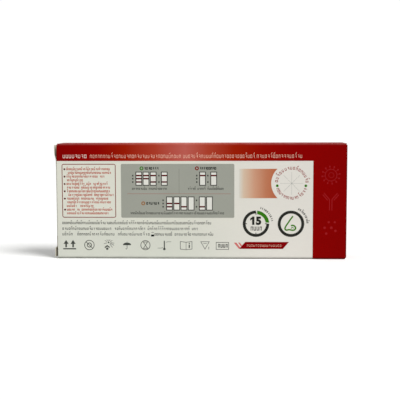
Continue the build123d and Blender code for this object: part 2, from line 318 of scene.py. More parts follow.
# Depth of a point under the carton's rounded skin, from its height and its distance front to back
skin_depth, takes, gives = group("skin_depth", {}, ["Depth", "Fold", "Above"])
FOLD_FROM = -1.2 * MM
FOLD_TO = 0.1 * MM
spot = parts_of(skin_depth)
past_y = calc(skin_depth, "SUBTRACT", calc(skin_depth, "ABSOLUTE", spot["Y"]), -FRONT - FOLD_RADIUS)
from_middle = calc(skin_depth, "ABSOLUTE", calc(skin_depth, "SUBTRACT", spot["Z"], HEIGHT / 2))
past_z = calc(skin_depth, "SUBTRACT", from_middle, HEIGHT / 2 - FOLD_RADIUS)
round_y = calc(skin_depth, "MAXIMUM", past_y, 0.0)
round_z = calc(skin_depth, "MAXIMUM", past_z, 0.0)
squares = calc(skin_depth, "MULTIPLY_ADD", round_y, round_y, product(skin_depth, round_z, round_z))
outside = calc(skin_depth, "SQRT", squares)
inside = calc(skin_depth, "MINIMUM", calc(skin_depth, "MAXIMUM", past_y, past_z), 0.0)
reach = calc(skin_depth, "ADD", outside, inside)
set_inputs(
    skin_depth,
    gives,
    Depth=calc(skin_depth, "SUBTRACT", FOLD_RADIUS, reach),
    Fold=ramp(skin_depth, calc(skin_depth, "MINIMUM", past_y, past_z), FOLD_FROM, FOLD_TO, "LINEAR"),
    Above=calc(skin_depth, "GREATER_THAN", spot["Z"], HEIGHT / 2),
)

# Tint of the clay coat: a cool white that is paler higher up, and warms a little to the right end
coat_tint, takes, gives = group("coat_tint", {}, ["Colour"], "Color")
WARMS = (-25 * MM, 55 * MM)
PALER_UP = (6 * MM, 34 * MM)
spot = parts_of(coat_tint)
warmth = ramp(coat_tint, spot["X"], *WARMS)
paler_up = ramp(coat_tint, spot["Z"], *PALER_UP)
left_coat = tinted(coat_tint, paler_up, COAT_LOW_LEFT, COAT_HIGH_LEFT)
set_inputs(coat_tint, gives, Colour=tinted(coat_tint, warmth, left_coat, COAT_RIGHT))

# Painted shade along the lower folds, where they turn under towards the floor, in soft patches, as a tone
# that darkens a colour
low_fold_shade, takes, gives = group("lower_fold_painted_shade", {"Amount": 0.5}, ["Tone"])
SHADE_UP = (1.9 * MM, 0.3 * MM)
SHADE_OUT = (-FRONT - 1.6 * MM, -FRONT - 0.4 * MM)
spot = parts_of(low_fold_shade)
near_floor = ramp(low_fold_shade, spot["Z"], *SHADE_UP)
from_middle = calc(low_fold_shade, "ABSOLUTE", spot["Y"])
off_middle = ramp(low_fold_shade, from_middle, *SHADE_OUT, "LINEAR")
patches = noise(low_fold_shade, place_on(low_fold_shade), scale=90, detail=3)
patches = calc(low_fold_shade, "MULTIPLY_ADD", patches, 0.5, 0.75)
shaded = product(low_fold_shade, near_floor, off_middle, patches, takes["Amount"])
set_inputs(low_fold_shade, gives, Tone=calc(low_fold_shade, "SUBTRACT", 1.0, shaded))

# Rubbed folds: where handling has broken the coat or the ink into small pale scuffs. A second
# mask of pale streaks along the folds, used by the inks on the top folds only, is partly
# rubbing and partly a painted highlight
scuffs, takes, gives = group("fold_scuffs", {"Mask": 0.0, "Amount": 0.5}, ["Scuff", "Rub"])
CHIPS_BREAK = (0.62, 0.78)
RUB_AND_HIGHLIGHT_NARROWS = 4.0
place = place_on(scuffs)
chips = noise(scuffs, place, scale=420, detail=6, roughness=0.7)
wear = calc(scuffs, "MULTIPLY_ADD", product(scuffs, takes["Mask"], takes["Amount"]), 0.5, -0.2)
worn = ramp(scuffs, calc(scuffs, "ADD", chips, wear), *CHIPS_BREAK)
streaks = calc(scuffs, "MULTIPLY_ADD", noise(scuffs, place, scale=160, detail=4), 1.6, 0.2)
along = calc(scuffs, "POWER", takes["Mask"], RUB_AND_HIGHLIGHT_NARROWS)
set_inputs(scuffs, gives, Scuff=product(scuffs, worn, takes["Mask"]), Rub=product(scuffs, along, streaks))


def finish_of(name, satin):
    """A new material with its tree and shader, ready for a colour."""
    made = bpy.data.materials.new(name)
    made.use_nodes = True
    shader = made.node_tree.nodes["Principled BSDF"]
    shader.inputs["Specular IOR Level"].default_value = satin
    return made, made.node_tree, shader


def bumped(tree, height, strength, distance):
    """The normal of a fine relief."""
    relief = node(tree, "ShaderNodeBump", Height=height, Strength=strength, Distance=distance)
    return relief.outputs["Normal"]


ROUGH_BARE = 0.88
ROUGH_COATED = 0.46
SCUFF_ROUGHENS = 0.2
SCUFF_SHOWS = 0.45


def board_finish(name, coated_side):
    """Coated board: coated_side makes the masks of its coat and its red in the material's own tree."""
    made, tree, shader = finish_of(name, satin=0.2)
    coated, painted_red = coated_side(tree)
    coat_tone = placed(tree, fibres, Size=900.0, Contrast=0.06)["Tone"]
    bare_fibres = placed(tree, fibres, Size=420.0, Contrast=0.3)
    scuff = placed(tree, scuffs, Amount=0.42, Mask=placed(tree, skin_depth)["Fold"])["Scuff"]
    white = scaled_colour(tree, placed(tree, coat_tint)["Colour"], coat_tone)
    printed_coat = tinted(tree, painted_red, white, scaled_colour(tree, DEEP_RED, coat_tone))
    printed_coat = tinted(tree, product(tree, scuff, SCUFF_SHOWS), printed_coat, BARE_BOARD)
    # painted shade darkens the coat and its red along the lower folds
    printed_coat = scaled_colour(tree, printed_coat, placed(tree, low_fold_shade, Amount=0.6)["Tone"])
    bare = scaled_colour(tree, BARE_BOARD, bare_fibres["Tone"])
    dull = calc(tree, "MULTIPLY_ADD", coated, ROUGH_COATED - ROUGH_BARE, ROUGH_BARE)
    set_inputs(
        tree,
        shader,
        Base_Color=tinted(tree, coated, bare, printed_coat),
        Roughness=calc(tree, "MULTIPLY_ADD", scuff, SCUFF_ROUGHENS, dull),
        Normal=bumped(tree, bare_fibres["Height"], strength=0.25, distance=0.03 * MM),
    )
    return made


# Crease that a closure hangs on: a mask of the rounded edge there, where the print goes round
hinge_side, takes, gives = group("hinge_side", {}, ["Mask"])
TURNED_OUT = 0.3
spot = parts_of(hinge_side)
facing = parts_of(hinge_side, "Normal")
end = calc(hinge_side, "SIGN", spot["X"])
near = calc(hinge_side, "GREATER_THAN", product(hinge_side, spot["Y"], end, -1.0), -FRONT - PAST_BOARD)
turned_y = product(hinge_side, facing["Y"], end, -1.0)
turned_x = product(hinge_side, facing["X"], end)
turned = calc(hinge_side, "GREATER_THAN", largest(hinge_side, turned_x, turned_y), TURNED_OUT)
set_inputs(hinge_side, gives, Mask=product(hinge_side, near, turned))

FACES_OUT = 0.5
BENT = 0.05
BEND_TURNED_OUT = 0.1
SIDE_FIELD_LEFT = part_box("notice_frame")[0].x + 156.1 * MM


def body_coat(tree):
    """The body's outer skin, with the outside of its dust flaps, and the red on its folds."""
    spot = parts_of(tree)
    facing = parts_of(tree, "Normal")
    depth = placed(tree, skin_depth)["Depth"]
    outwards = product(tree, facing["X"], calc(tree, "SIGN", spot["X"]))
    skin = calc(tree, "LESS_THAN", depth, SKIN)
    deep = calc(tree, "GREATER_THAN", depth, PAST_BOARD)
    on_flap = product(tree, deep, calc(tree, "GREATER_THAN", outwards, FACES_OUT))
    bent = calc(tree, "GREATER_THAN", calc(tree, "ABSOLUTE", facing["Z"]), BENT)
    on_bend = product(tree, bent, calc(tree, "GREATER_THAN", outwards, BEND_TURNED_OUT))
    coated = largest(tree, skin, on_flap, on_bend, placed(tree, hinge_side)["Mask"])
    low_fold = calc(tree, "LESS_THAN", spot["Z"], 1.1 * FOLD_RADIUS)
    beside = calc(tree, "GREATER_THAN", spot["X"], SIDE_FIELD_LEFT)
    in_front = calc(tree, "LESS_THAN", spot["Y"], 0.2 * FRONT)
    near_front = calc(tree, "LESS_THAN", spot["Y"], FRONT + PAST_BOARD)
    red_low = product(tree, low_fold, beside, in_front)
    red_top = calc(tree, "GREATER_THAN", spot["Z"], HEIGHT - 1.05 * FOLD_RADIUS)
    return coated, largest(tree, red_low, red_top, product(tree, near_front, beside))


def dressed(name, finish):
    """Gives a carried-over part its finish."""
    part = frame["nodes"][name]
    part.data.materials.clear()
    part.data.materials.append(finish)


dressed("carton_body", board_finish("folded_board", body_coat))

# Closures and tongues: the same board at the two ends, creased where they turn. Only the side
# that faces outwards when they are shut is coated, and at the right end it is printed red.
TONGUE_FACES_OUT = 0.4


def closure_coat(tree):
    """The side of a closure that faces away from the carton's middle."""
    spot = parts_of(tree)
    outwards = product(tree, parts_of(tree, "Normal")["X"], calc(tree, "SIGN", spot["X"]))
    outer = calc(tree, "GREATER_THAN", outwards, FACES_OUT)
    right_end = calc(tree, "GREATER_THAN", spot["X"], 0.0)
    return largest(tree, outer, placed(tree, hinge_side)["Mask"]), right_end


def tongue_coat(tree):
    """The side of a tongue that faces the panel that it is tucked behind."""
    spot = parts_of(tree)
    facing = parts_of(tree, "Normal")
    outwards = product(tree, facing["Y"], calc(tree, "SIGN", spot["Y"]))
    round_crease = product(tree, facing["X"], calc(tree, "SIGN", spot["X"]))
    right_end = calc(tree, "GREATER_THAN", spot["X"], 0.0)
    coated = calc(tree, "GREATER_THAN", largest(tree, outwards, round_crease), TONGUE_FACES_OUT)
    return coated, right_end


closure_board = board_finish("closure_board", closure_coat)
tongue_board = board_finish("tongue_board", tongue_coat)
dressed("right_closure", closure_board)
dressed("left_tongue", tongue_board)
dressed("right_tongue", tongue_board)

# Left closure: the same form as the right one, turned half round and standing two degrees open. Its
# two front corners have sprung out of their slits and kept a soft bend, the lower one a sharper fold.
AJAR = math.radians(2)
FREE_EDGE = 0.85 * MM
TOP_SPRING = 1.02 * MM
TOP_BEND = (60.8 * MM, 66.4 * MM)
TOP_REACH = 9.0 * MM
LOW_SPRING = 1.3 * MM
LOW_BEND = (6.2 * MM, 8.0 * MM)
LOW_REACH = 6.0 * MM
CUTS = 9
WELD = 0.001 * MM
CUT_SLACK = 0.0001 * MM
SHARP_FROM = math.radians(30)
left_crease = next(joint for joint in frame["joints"] if joint["name"] == "left_closure_crease")
hinge = Vector(left_crease["pos_m"])


def eased(value, low, high):
    """0 up to low, 1 from high, and soft in between."""
    share = min(1.0, max(0.0, (value - low) / (high - low)))
    return share * share * (3 - 2 * share)


def sprung(spot):
    """How far a spot on the flat closure has bent out."""
    inwards = spot.y - FRONT - FREE_EDGE
    top = TOP_SPRING * eased(spot.z, *TOP_BEND) * (1 - eased(inwards, 0.0, TOP_REACH))
    low = LOW_SPRING * (1 - eased(spot.z, *LOW_BEND)) * (1 - eased(inwards, 0.0, LOW_REACH))
    return top + low


sheet = bmesh.new()
sheet.from_mesh(frame["nodes"]["right_closure"].data)
bmesh.ops.remove_doubles(sheet, verts=sheet.verts, dist=WELD)
for spot in sheet.verts:
    spot.co = Vector((-spot.co.x, -spot.co.y, spot.co.z))
cuts = []
for step in range(CUTS):
    share = step / (CUTS - 1)
    cuts.append(((0, 0, 1), TOP_BEND[0] + share * (TOP_BEND[1] - TOP_BEND[0])))
    cuts.append(((0, 0, 1), LOW_BEND[0] + share * (LOW_BEND[1] - LOW_BEND[0])))
    cuts.append(((0, 1, 0), FRONT + FREE_EDGE + (share + 1 / CUTS) * TOP_REACH))
for across, at in cuts:
    everything = sheet.verts[:] + sheet.edges[:] + sheet.faces[:]
    cut_at = at * Vector(across)
    bmesh.ops.bisect_plane(sheet, geom=everything, dist=CUT_SLACK, plane_co=cut_at, plane_no=across)
for spot in sheet.verts:
    spot.co.x -= sprung(spot.co)
    spot.co = hinge + Quaternion((0, 0, 1), -AJAR) @ (spot.co - hinge)
for face in sheet.faces:
    face.smooth = True
left_sheet = bpy.data.meshes.new("left_closure_sheet")
sheet.to_mesh(left_sheet)
sheet.free()
left_sheet.set_sharp_from_angle(angle=SHARP_FROM)
left_sheet.materials.clear()
left_sheet.materials.append(closure_board)
left_piece = added("left_closure_sheet", left_sheet)
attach(left_piece, "left_closure")
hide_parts("left_closure")

# Red print: a solid deep red on the header, the top panel and the side field, under a satin
# varnish. The header lightens to a soft rose glow at its middle.
GLOW_STOPS = [
    (-90, (127, 0, 0)),
    (-64, (140, 3, 0)),
    (-47, (152, 26, 3)),
    (-28, (169, 58, 40)),
    (-10, (186, 92, 82)),
    (4, (171, 63, 44)),
    (20, (154, 29, 4)),
    (38, (144, 8, 0)),
    (60, (135, 0, 0)),
    (90, (130, 0, 0)),
]
SCUFFED_INK = linear(214, 186, 178)
VARNISHED = 0.4
SATIN = 0.45
MATT = 0.5
UNEVEN_GLOSS = 0.08
FINE_SHARE = 0.6
RUB_AND_HIGHLIGHT_SHOWS = 0.1
INK_SCUFF_SHOWS = 0.55
mottle, takes, gives = group("ink_mottle", {"Contrast": 0.08}, ["Tone", "Height"])
fine = noise(mottle, place_on(mottle), scale=1500, detail=3)
broad = noise(mottle, place_on(mottle), scale=55, detail=2)
tone = toned(mottle, product(mottle, fine, FINE_SHARE), broad, takes["Contrast"])
set_inputs(mottle, gives, Tone=tone, Height=fine)


def stops(tree, drive, steps):
    """A run of colours along a value, from stops of millimetres and colour."""
    low, high = steps[0][0], steps[-1][0]
    spread = ramp(tree, drive, low * MM, high * MM, "LINEAR")
    colours = node(tree, "ShaderNodeValToRGB", Fac=spread)
    for count, (at, colour) in enumerate(steps):
        if count < 2:
            stop = colours.color_ramp.elements[count]
        else:
            stop = colours.color_ramp.elements.new(1.0)
        stop.position = (at - low) / (high - low)
        stop.color = linear(*colour)
    return colours.outputs["Color"]


def ink_finish(name, colour_of, roughness, worn):
    """Printed ink: colour_of makes its colour in the material's own tree."""
    made, tree, shader = finish_of(name, satin=0.02)
    uneven = placed(tree, mottle, Contrast=0.1)
    under = placed(tree, skin_depth)
    rubbed = placed(tree, scuffs, Amount=worn, Mask=under["Fold"])
    # pale streaks on the top folds only: partly rubbed ink, partly a painted highlight along the lit top
    # fold
    rub_and_highlight = product(tree, rubbed["Rub"], under["Above"], RUB_AND_HIGHLIGHT_SHOWS)
    bared = largest(tree, rub_and_highlight, product(tree, rubbed["Scuff"], INK_SCUFF_SHOWS))
    colour = scaled_colour(tree, colour_of(tree), uneven["Tone"])
    colour = tinted(tree, bared, colour, SCUFFED_INK)
    set_inputs(
        tree,
        shader,
        # painted shade darkens the ink along the lower folds
        Base_Color=scaled_colour(tree, colour, placed(tree, low_fold_shade, Amount=0.4)["Tone"]),
        Roughness=calc(tree, "MULTIPLY_ADD", uneven["Height"], UNEVEN_GLOSS, roughness),
        Normal=bumped(tree, uneven["Height"], strength=0.12, distance=0.02 * MM),
    )
    return made


def glow_of(tree):
    """Deep red, and rose at the header's middle."""
    return stops(tree, parts_of(tree)["X"], GLOW_STOPS)


dressed("red_field", ink_finish("red_header_ink", glow_of, VARNISHED, worn=0.15))
dressed("closure_field", ink_finish("red_closure_ink", lambda tree: DEEP_RED, VARNISHED, worn=0.3))

# Notice at the left: a thin brown-red rule with rounded corners round a list of short lines, all
# in offset ink on the white coat. The lines are rows of small strokes, and each point has a dot.
# Ink stands a hair proud and reaches a hair into what is under it. OVER parts lines that cross.
INK = 0.012 * MM
SUNK = 0.01 * MM
ON_BOARD = 0.0
ON_PRINT = 0.03 * MM
OVER = 0.002 * MM
WORD_THICKNESS = 0.03 * MM
SHARPEST_MITRE = 0.35
NOTICE_LEFT = 6.4
NOTICE_ENDS = [32.7, 33.4, 29.3, 15.8, 31.2, 32.9, 32.5, 34.9, 31.6, 33.2, 22.3, 34.0, 31.6]
NOTICE_TOP = 55.5
NOTICE_STEP = 2.3
ROWS_WITH_DOTS = (0, 2, 4, 6, 8, 11)
DOT_LEFT = 4.8
DOT_RADIUS = 0.6


def plain_ink(name, colour, roughness=MATT):
    """An ink of one colour that handling hasn't worn."""
    return ink_finish(name, lambda tree: linear(*colour), roughness, worn=0.0)


def on_front(across, up, lift):
    """A point on the front, from millimetres across from the panel's left edge and up from its foot."""
    return Vector((across * MM - HALF_LENGTH, FRONT - lift, up * MM))


def slab(mesh, outline, lift=ON_BOARD):
    """A flat printed shape with this outline, standing a hair proud of what it is printed on."""
    rings = []
    for depth in (lift + INK, lift - SUNK):
        rings.append([mesh.verts.new(on_front(across, up, depth)) for across, up in outline])
    mesh.faces.new(rings[0])
    mesh.faces.new(list(reversed(rings[1])))
    count = len(outline)
    for step in range(count):
        ahead = (step + 1) % count
        mesh.faces.new((rings[0][step], rings[1][step], rings[1][ahead], rings[0][ahead]))


def rule(mesh, path, width, lift=ON_BOARD, closed=False):
    """A printed line of this width along a path, mitred at its corners."""
    count = len(path)
    points = [Vector(point) for point in path]
    rows = []
    for step, point in enumerate(points):
        before = points[step - 1] if closed or step else point
        after = points[(step + 1) % count] if closed or step < count - 1 else point
        into = (point - before).normalized() if before != point else (after - point).normalized()
        away = (after - point).normalized() if after != point else into
        square = Vector((-into.y - away.y, into.x + away.x)).normalized()
        half = width / 2 / max(SHARPEST_MITRE, square.dot(Vector((-away.y, away.x))))
        row = []
        for side in (point + square * half, point - square * half):
            row += [mesh.verts.new(on_front(*side, depth)) for depth in (lift + INK, lift - SUNK)]
        rows.append(row)
    for step in range(count if closed else count - 1):
        here, ahead = rows[step], rows[(step + 1) % count]
        for first, second in ((0, 1), (1, 3), (3, 2), (2, 0)):
            mesh.faces.new((here[first], here[second], ahead[second], ahead[first]))
    if not closed:
        mesh.faces.new([rows[0][corner] for corner in (0, 2, 3, 1)])
        mesh.faces.new([rows[-1][corner] for corner in (0, 1, 3, 2)])


def at_turn(across, up, radius, turn):
    """A point on a circle, at degrees from three o'clock, counted anticlockwise."""
    return across + radius * math.cos(math.radians(turn)), up + radius * math.sin(math.radians(turn))


def arc(across, up, radius, start, stop, count):
    """Points along an arc between two such turns."""
    turns = [start + (stop - start) * step / count for step in range(count + 1)]
    return [at_turn(across, up, radius, turn) for turn in turns]


def disc(mesh, across, up, radius, lift=ON_BOARD, count=20):
    """A printed dot."""
    slab(mesh, arc(across, up, radius, 0, 360, count)[:-1], lift)


def circle(mesh, across, up, radius, width, lift=ON_BOARD, count=48):
    """A printed ring with this middle radius."""
    rule(mesh, arc(across, up, radius, 0, 360, count)[:-1], width, lift, closed=True)


def line_at(up, start, stop):
    """A level line."""
    return [(start, up), (stop, up)]


def box_at(left, low, right, high):
    """The corners of an upright box."""
    return [(left, low), (right, low), (right, high), (left, high)]


def on_carton(name, data):
    """Adds a piece of print that is part of the carton."""
    piece = added(name, data)
    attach(piece, "carton")


def printed(name, draw, ink):
    """A piece of print on the front, drawn by draw into a mesh."""
    mesh = bmesh.new()
    draw(mesh)
    bmesh.ops.recalc_face_normals(mesh, faces=mesh.faces)
    data = bpy.data.meshes.new(name)
    mesh.to_mesh(data)
    mesh.free()
    data.materials.append(ink)
    on_carton(name, data)


# The rows of strokes: along each line, a letter-sized box, arch or stroke at every pitch, with
# some left out as word spaces and a few with a mark above
words = bpy.data.node_groups.new("rows_of_strokes", "GeometryNodeTree")
words.interface.new_socket("Lines", in_out="INPUT", socket_type="NodeSocketGeometry")
word_inputs = {}
for title in ("Pitch", "Height", "Weight", "Stem", "Bar", "Thickness", "Spaces", "Marks", "Seed", "Ink"):
    kind = {"Seed": "Int", "Ink": "Material"}.get(title, "Float")
    socket = words.interface.new_socket(title, in_out="INPUT", socket_type=f"NodeSocket{kind}")
    word_inputs[title] = socket.identifier
words.interface.new_socket("Print", in_out="OUTPUT", socket_type="NodeSocketGeometry")
word_in = words.nodes.new("NodeGroupInput").outputs
pitch = word_in["Pitch"]
as_curves = node(words, "GeometryNodeMeshToCurve", Mesh=word_in["Lines"]).outputs["Curve"]
spots = node(words, "GeometryNodeCurveToPoints", mode="LENGTH", Curve=as_curves, Length=pitch).outputs
along = node(words, "FunctionNodeAlignRotationToVector", axis="X", pivot_axis="Y", Vector=spots["Tangent"])
# For each kind of random value, its first input and its output
RANDOM_SLOTS = {"FLOAT": (2, 1), "INT": (4, 2), "BOOLEAN": (6, 3)}


def chance(kind, seed_shift, *limits):
    """A random value for each spot, between two limits or with one likelihood, by the tree's seed."""
    first, output = RANDOM_SLOTS[kind]
    made = node(words, "FunctionNodeRandomValue", data_type=kind)
    set_inputs(words, made, Seed=calc(words, "ADD", word_in["Seed"], seed_shift))
    for step, limit in enumerate(limits):
        feed(words, made.inputs[first + step], limit)
    return made.outputs[output]


def measures(*values):
    """A vector in the tree from outputs or plain numbers."""
    return in_order(words, node(words, "ShaderNodeCombineXYZ"), *values)


def together(parts):
    """Some geometry joined in this order."""
    made = node(words, "GeometryNodeJoinGeometry")
    for part in parts:
        feed(words, made.inputs["Geometry"], part)
    return made.outputs["Geometry"]


def block(size, centre):
    """A box in the tree, for one stroke of a letter."""
    box = node(words, "GeometryNodeMeshCube", Size=measures(*size)).outputs["Mesh"]
    moved = node(words, "GeometryNodeTransform", Translation=measures(*centre), Geometry=box)
    return moved.outputs["Geometry"]


def strokes(*blocks):
    """One letter-sized form, as an instance."""
    parts = together([block(size, centre) for size, centre in blocks])
    return node(words, "GeometryNodeGeometryToInstance", Geometry=parts).outputs["Instances"]


stem = word_in["Stem"]
bar = word_in["Bar"]
stem_out = calc(words, "MULTIPLY_ADD", stem, -0.5, 0.5)
bar_up = product(words, bar, 0.5)
between = calc(words, "MULTIPLY_ADD", stem, -2.0, 1.0)
left_stem = ((stem, 1, 1), (product(words, stem_out, -1.0), 0, 0.5))
right_stem = ((stem, 1, 1), (stem_out, 0, 0.5))
top_bar = ((between, 1, bar), (0, 0, calc(words, "SUBTRACT", 1.0, bar_up)))
low_bar = ((between, 1, bar), (0, 0, bar_up))
short_bar = ((0.5, 1, bar), (0.1, 0, 0.5))
forms = together(
    [
        strokes(left_stem, right_stem, top_bar),
        strokes(left_stem, right_stem, top_bar, low_bar),
        strokes(right_stem, top_bar, short_bar),
        strokes(left_stem, right_stem, low_bar),
    ]
)
mark = strokes(((0.75, 1, bar), (0.1, 0, 1.45)), ((stem, 1, 0.3), (0.4, 0, 1.65)))
gap = chance("BOOLEAN", 0, word_in["Spaces"])
wide = chance("FLOAT", 1, 0.66, 0.86)
form = chance("INT", 2, 0, 3)
marked = chance("BOOLEAN", 3, word_in["Marks"])
kept = node(words, "GeometryNodeDeleteGeometry", Geometry=spots["Points"], Selection=gap)
letter_width = product(words, pitch, wide, word_in["Weight"])
set_out = {
    "Points": kept.outputs["Geometry"],
    "Rotation": along.outputs["Rotation"],
    "Scale": measures(letter_width, word_in["Thickness"], word_in["Height"]),
}
letters = node(words, "GeometryNodeInstanceOnPoints", Instance=forms, Pick_Instance=True, **set_out)
set_inputs(words, letters, Instance_Index=form)
marks = node(words, "GeometryNodeInstanceOnPoints", Instance=mark, Selection=marked, **set_out)
every = together([letters.outputs["Instances"], marks.outputs["Instances"]])
real = node(words, "GeometryNodeRealizeInstances", Geometry=every).outputs["Geometry"]
inked = node(words, "GeometryNodeSetMaterial", Geometry=real, Material=word_in["Ink"])
node(words, "NodeGroupOutput", Print=inked.outputs["Geometry"])


def plain_mesh(guide):
    """The mesh that a guide makes. The guide goes."""
    shown = guide.evaluated_get(bpy.context.evaluated_depsgraph_get())
    made = bpy.data.meshes.new_from_object(shown)
    bpy.data.objects.remove(guide)
    return made


def lettering(
    name, lines, lift, ink, height, pitch, seed, stem, bar=0.2, spaces=0.0, marks=0.0, weight=1.0
):
    """Rows of strokes along these lines, each a list of points along the foot of its letters."""
    guide = bpy.data.meshes.new(name)
    corners, edges = [], []
    for line in lines:
        first = len(corners)
        corners += [on_front(across, up, lift) for across, up in line]
        edges += [(first + step, first + step + 1) for step in range(len(line) - 1)]
    guide.from_pydata(corners, edges, [])
    row = added(name + "_guide", guide)
    maker = row.modifiers.new("strokes", "NODES")
    maker.node_group = words
    values = {
        "Pitch": pitch * MM,
        "Height": height * MM,
        "Weight": weight,
        "Stem": stem,
        "Bar": bar,
        "Thickness": WORD_THICKNESS,
        "Spaces": spaces,
        "Marks": marks,
        "Seed": seed,
        "Ink": ink,
    }
    for title, value in values.items():
        maker[word_inputs[title]] = value
    on_carton(name, plain_mesh(row))


def notice_dots(mesh):
    for row in ROWS_WITH_DOTS:
        disc(mesh, DOT_LEFT, NOTICE_TOP + DOT_RADIUS - NOTICE_STEP * row, DOT_RADIUS)


dressed("notice_frame", plain_ink("brown_red_ink", (126, 54, 48)))
dark_ink = plain_ink("dark_ink", (56, 59, 55))
notice_rows = [
    line_at(NOTICE_TOP - NOTICE_STEP * row, NOTICE_LEFT, stop) for row, stop in enumerate(NOTICE_ENDS)
]
lettering(
    "notice_words", notice_rows, ON_BOARD, plain_ink("notice_ink", (174, 50, 6)),
    height=1.2, pitch=1.0, seed=3, stem=0.33, bar=0.25, spaces=0.07, marks=0.25,
)
printed("notice_dots", notice_dots, plain_ink("dot_brown", (84, 8, 2)))

# Panel of results: a light grey tint with small pictures of result windows, each an outline with
# a white inside and up to three wine-red lines, under a ring and a heading for each result.
dressed("result_panel", plain_ink("grey_tint", (157, 159, 149)))
dressed("window_frames", plain_ink("window_outline", (56, 54, 52)))
dressed("windows", plain_ink("window_white", (222, 222, 214)))
dressed("test_lines", plain_ink("wine_line", (88, 0, 14), SATIN))
green_ink = plain_ink("green_ink", (54, 118, 22), SATIN)
orange_ink = plain_ink("orange_ink", (150, 106, 66))
red_ink = plain_ink("plate_red", (126, 2, 8), SATIN)
heavy_ink = plain_ink("heading_ink", (32, 34, 32))
RING_RADIUS = 0.9
RING_LINE = 0.66
UPRIGHT_LINE = 0.2
LEVEL_LINE = 0.22
HALF_MARK = (0.4, 0.5)
UPPER_HEADING = 55.8
LOWER_HEADING = 34.0
UPPER_CAPTION = 43.3
LOWER_CAPTION = 28.0
UPPER_LINES = (52.1, 50.2, 48.1)
LOWER_LINES = (36.7, 34.7, 32.7)
MARKED_LINES = (
    (47.5, UPPER_LINES),
    (63.8, UPPER_LINES[::2]),
    (87.3, UPPER_LINES),
    (94.2, UPPER_LINES[::2]),
    (66.3, LOWER_LINES),
    (87.1, LOWER_LINES[::2]),
)


def ring_at(across, up):
    """Draws a heading's ring."""
    return lambda mesh: circle(mesh, across, up, RING_RADIUS, RING_LINE, ON_PRINT, 24)


def divider_upright(mesh):
    rule(mesh, [(76.3, 56.4), (76.3, 40.9)], UPRIGHT_LINE, ON_PRINT)


def divider_level(mesh):
    rule(mesh, line_at(40.8, 43.9, 108.4), LEVEL_LINE, ON_PRINT)


def line_marks(mesh):
    wide, high = HALF_MARK
    for across, heights in MARKED_LINES:
        for up in heights:
            slab(mesh, box_at(across - wide, up - high, across + wide, up + high), ON_PRINT)


printed("positive_ring", ring_at(53.0, 56.6), green_ink)
printed("negative_ring", ring_at(87.4, 56.6), red_ink)
printed("invalid_ring", ring_at(53.9, 34.8), orange_ink)
heading_rows = [
    line_at(UPPER_HEADING, 55.1, 63.0),
    line_at(UPPER_HEADING, 89.6, 98.8),
    line_at(LOWER_HEADING, 56.4, 63.2),
]
lettering(
    "headings", heading_rows, ON_PRINT, heavy_ink,
    height=1.6, pitch=1.15, seed=8, stem=0.33, bar=0.28, weight=1.2,
)
caption_rows = [
    line_at(UPPER_CAPTION, 47.4, 68.3),
    line_at(UPPER_CAPTION, 82.0, 103.5),
    line_at(LOWER_CAPTION, 46.1, 66.0),
    line_at(LOWER_CAPTION, 67.2, 103.8),
]
lettering(
    "result_captions", caption_rows, ON_PRINT, dark_ink,
    height=1.15, pitch=1.0, seed=5, stem=0.28, bar=0.22, spaces=0.06, marks=0.2,
)
printed("upright_divider", divider_upright, plain_ink("divider_grey", (128, 128, 118)))
printed("level_divider", divider_level, plain_ink("divider_brown", (158, 104, 96)))
printed("line_marks", line_marks, dark_ink)

# Fading block and round emblem: an orange tint that grows from white at its left, cut round by a
# white circle with eight thin spokes, and words in two arcs between two green dots.
FADE_STOPS = [
    (23.5, (214, 213, 203)),
    (26.5, (212, 188, 164)),
    (33, (203, 153, 125)),
    (40, (189, 122, 90)),
    (47.5, (180, 98, 66)),
]
EMBLEM = (146.0, 47.3)
SPOKE_REACH = 7.1
SPOKE_LINE = 0.12
UPPER_WORDS = 8.6
LOWER_WORDS = 10.1
EMBLEM_DOTS = ((137.1, 45.8), (154.7, 45.8))
EMBLEM_DOT_RADIUS = 0.85


def fade_of(tree):
    """White at the left, warming to orange at the right."""
    return stops(tree, parts_of(tree)["X"], FADE_STOPS)


def spokes(mesh):
    for turn in range(4):
        ends = arc(*EMBLEM, SPOKE_REACH, 45 * turn, 45 * turn + 180, 1)
        rule(mesh, ends, SPOKE_LINE, OVER * turn)


def emblem_dots(mesh):
    for across, up in EMBLEM_DOTS:
        disc(mesh, across, up, EMBLEM_DOT_RADIUS)


dressed("fade_block", ink_finish("fading_orange", fade_of, MATT, worn=0.0))
printed("emblem_spokes", spokes, plain_ink("spoke_grey", (150, 152, 146)))
printed("emblem_dots", emblem_dots, green_ink)
emblem_rows = [
    arc(*EMBLEM, UPPER_WORDS, 172, 126, 10),
    arc(*EMBLEM, UPPER_WORDS, 114, 6, 24),
    arc(*EMBLEM, LOWER_WORDS, 203, 292, 24),
    arc(*EMBLEM, LOWER_WORDS, 304, 336, 8),
]
lettering(
    "emblem_words", emblem_rows, ON_BOARD, plain_ink("emblem_red", (142, 22, 20)),
    height=1.7, pitch=1.5, seed=11, stem=0.25, marks=0.1,
)

